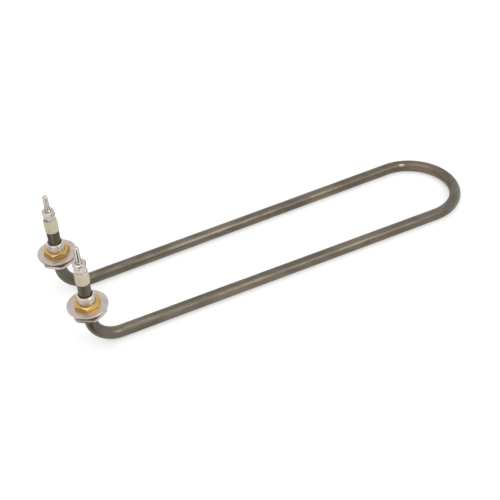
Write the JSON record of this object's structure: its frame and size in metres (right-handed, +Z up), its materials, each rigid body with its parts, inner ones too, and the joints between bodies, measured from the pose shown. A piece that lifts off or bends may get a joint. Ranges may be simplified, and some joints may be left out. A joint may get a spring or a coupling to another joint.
{
  "type": "tubular heating element",
  "caption": "Hairpin sheathed electric heating element with upright threaded terminals, each with bushing, gasket, washer, lock nut, ceramic bead and plug pin.",
  "frame": {"origin": "midway between the two terminal axes, level with the top faces of the lock nuts, where the free bushing threads start", "axes": "+X along the legs from the terminals to the hairpin bend, +Y from terminal A to terminal B, +Z up along the terminals"},
  "size_m": [0.2995, 0.081, 0.079],
  "materials": {
    "sheath": "annealed dark oxide, satin",
    "coil_wire": "drawn resistance wire",
    "powder": "compacted matte powder",
    "pin_nickel": "bright nickel plate",
    "seal": "cured silicone",
    "ceramic": "unglazed, matte",
    "bushing_steel": "machined, bright zinc plate",
    "braze": "as brazed",
    "gasket": "moulded, matte",
    "washer_steel": "satin, stamped",
    "nut_brass": "machined, bright"
  },
  "bodies": {
    "root": {"heating_tube": "sheath", "resistance_coil": "coil_wire", "insulation_powder": "powder", "terminal_pin_a": "pin_nickel", "moisture_seal_a": "seal", "ceramic_bead_a": "ceramic", "bead_washer_a": "pin_nickel", "lower_nut_a": "pin_nickel", "upper_nut_a": "pin_nickel", "threaded_bushing_a": "bushing_steel", "braze_ring_a": "braze", "sealing_gasket_a": "gasket", "clamp_washer_a": "washer_steel", "lock_nut_a": "nut_brass", "terminal_pin_b": "pin_nickel", "moisture_seal_b": "seal", "ceramic_bead_b": "ceramic", "bead_washer_b": "pin_nickel", "lower_nut_b": "pin_nickel", "upper_nut_b": "pin_nickel", "threaded_bushing_b": "bushing_steel", "braze_ring_b": "braze", "sealing_gasket_b": "gasket", "clamp_washer_b": "washer_steel", "lock_nut_b": "nut_brass"}
  },
  "joints": []
}
